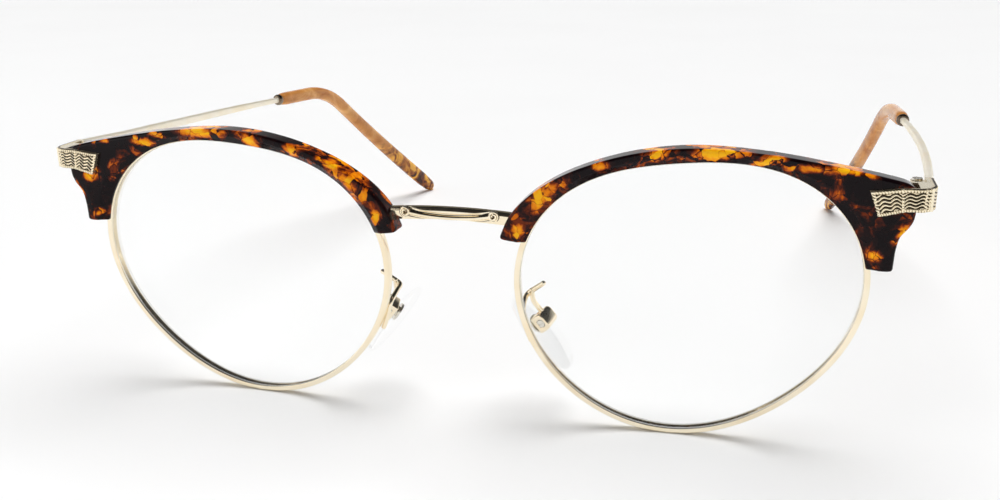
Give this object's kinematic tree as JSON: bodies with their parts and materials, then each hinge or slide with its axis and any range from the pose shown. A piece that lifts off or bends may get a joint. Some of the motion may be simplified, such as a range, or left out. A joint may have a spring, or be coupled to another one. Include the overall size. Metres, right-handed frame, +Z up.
{
  "type": "half rim eyeglasses",
  "caption": "Browline eyeglasses: acetate brows over thin metal rims, arched bridge, adjustable nose pads and folding wire temples with acetate tips.",
  "frame": {"origin": "on the table, under the middle of the bridge and level with the fronts of the eyewires", "axes": "+X towards the wearer's left, +Y from the front back to the temple tips, +Z up"},
  "size_m": [0.1441, 0.1395, 0.0458],
  "materials": {
    "brow_acetate": "polished tortoiseshell acetate, dark brown with amber patches",
    "tip_acetate": "polished honey-brown acetate",
    "gold_metal": "polished pale gold plating",
    "engraved_gold": "pale gold plating with chased zigzag engraving and beaded borders",
    "screw_metal": "bright turned screw metal",
    "dark_metal": "dark bronze ferrule",
    "lens": "clear uncoated demonstration lens",
    "pad_clear": "clear soft plastic"
  },
  "bodies": {
    "front": {"brow_left": "brow_acetate", "brow_right": "brow_acetate", "eyewire_left": "gold_metal", "eyewire_right": "gold_metal", "lens_left": "lens", "lens_right": "lens", "bridge": "gold_metal", "endpiece_left": "engraved_gold", "endpiece_right": "engraved_gold", "brow_screws": "screw_metal", "rim_lock_left": "gold_metal", "rim_lock_right": "gold_metal", "rim_lock_screws": "screw_metal", "pad_arm_left": "gold_metal", "pad_arm_right": "gold_metal", "pad_box_left": "gold_metal", "pad_box_right": "gold_metal", "pad_screws": "screw_metal", "hinge_front_left": "gold_metal", "hinge_front_right": "gold_metal", "hinge_screws": "screw_metal"},
    "temple_arm_left": {"hinge_temple_left": "gold_metal", "temple_left": "gold_metal", "tip_collar_left": "dark_metal", "temple_tip_left": "tip_acetate"},
    "temple_arm_right": {"hinge_temple_right": "gold_metal", "temple_right": "gold_metal", "tip_collar_right": "dark_metal", "temple_tip_right": "tip_acetate"},
    "pad_left": {"pad_post_left": "screw_metal", "nose_pad_left": "pad_clear"},
    "pad_right": {"pad_post_right": "screw_metal", "nose_pad_right": "pad_clear"}
  },
  "joints": [
    {"name": "fold_left", "type": "hinge", "parent": "front", "child": "temple_arm_left", "pos_m": [0.0678, 0.0066, 0.03941], "axis": [0, 0, 1], "range_deg": [0, 86]},
    {"name": "fold_right", "type": "hinge", "parent": "front", "child": "temple_arm_right", "pos_m": [-0.0678, 0.0066, 0.03941], "axis": [0, 0, -1], "range_deg": [-6.5, 73.5]},
    {"name": "pad_rock_left", "type": "hinge", "parent": "front", "child": "pad_left", "pos_m": [0.01346, 0.00663, 0.01482], "axis": [0.1983, 0.9659, 0.1664], "range_deg": [-8, 8]},
    {"name": "pad_rock_right", "type": "hinge", "parent": "front", "child": "pad_right", "pos_m": [-0.01346, 0.00663, 0.01482], "axis": [-0.1983, 0.9659, 0.1664], "range_deg": [-8, 8]}
  ]
}
